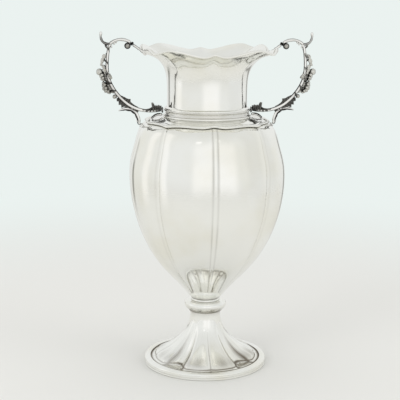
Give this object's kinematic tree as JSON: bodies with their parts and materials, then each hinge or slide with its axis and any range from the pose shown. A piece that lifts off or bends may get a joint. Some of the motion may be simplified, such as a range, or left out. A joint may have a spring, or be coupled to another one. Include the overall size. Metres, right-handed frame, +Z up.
{
  "type": "two-handled silver vase",
  "caption": "Two-handled silver vase: lobed pear-shaped body on a petal foot, flared neck with a wavy rim, and scroll handles wound with grapevine.",
  "frame": {"origin": "centre of the base ring's underside, on the table", "axes": "+Z up the vase's axis, +X towards the right handle, +Y towards the back"},
  "size_m": [0.2308, 0.1622, 0.3565],
  "materials": {
    "polished_silver": "polished silver sheet",
    "edge_wire": "polished silver wire",
    "handle_casting": "cast silver, polished on its high places",
    "vine_casting": "cast silver, darkened in its recesses"
  },
  "bodies": {
    "root": {"base_ring": "polished_silver", "foot_shell": "polished_silver", "stem_knop": "polished_silver", "body_bead": "polished_silver", "body_shell": "polished_silver", "shoulder_plate": "polished_silver", "shoulder_wire": "edge_wire", "neck_ring": "polished_silver", "neck_shell": "polished_silver", "rim_wire": "edge_wire", "left_scroll": "handle_casting", "left_neck_pad": "handle_casting", "left_crest": "handle_casting", "left_spur": "handle_casting", "left_volute": "handle_casting", "left_collar": "handle_casting", "left_rim_bracket": "handle_casting", "left_branch": "handle_casting", "left_body_pad": "handle_casting", "left_elbow_leaf": "vine_casting", "left_inner_leaf": "vine_casting", "left_neck_leaf": "vine_casting", "left_shoulder_scroll": "handle_casting", "left_vine": "vine_casting", "left_upper_leaf": "vine_casting", "left_upper_grapes": "vine_casting", "left_lower_grapes": "vine_casting", "left_end_grape": "vine_casting", "right_scroll": "handle_casting", "right_neck_pad": "handle_casting", "right_crest": "handle_casting", "right_spur": "handle_casting", "right_volute": "handle_casting", "right_collar": "handle_casting", "right_rim_bracket": "handle_casting", "right_branch": "handle_casting", "right_body_pad": "handle_casting", "right_elbow_leaf": "vine_casting", "right_inner_leaf": "vine_casting", "right_neck_leaf": "vine_casting", "right_shoulder_scroll": "handle_casting", "right_vine": "vine_casting", "right_upper_leaf": "vine_casting", "right_upper_grapes": "vine_casting", "right_lower_grapes": "vine_casting", "right_end_grape": "vine_casting"}
  },
  "joints": []
}
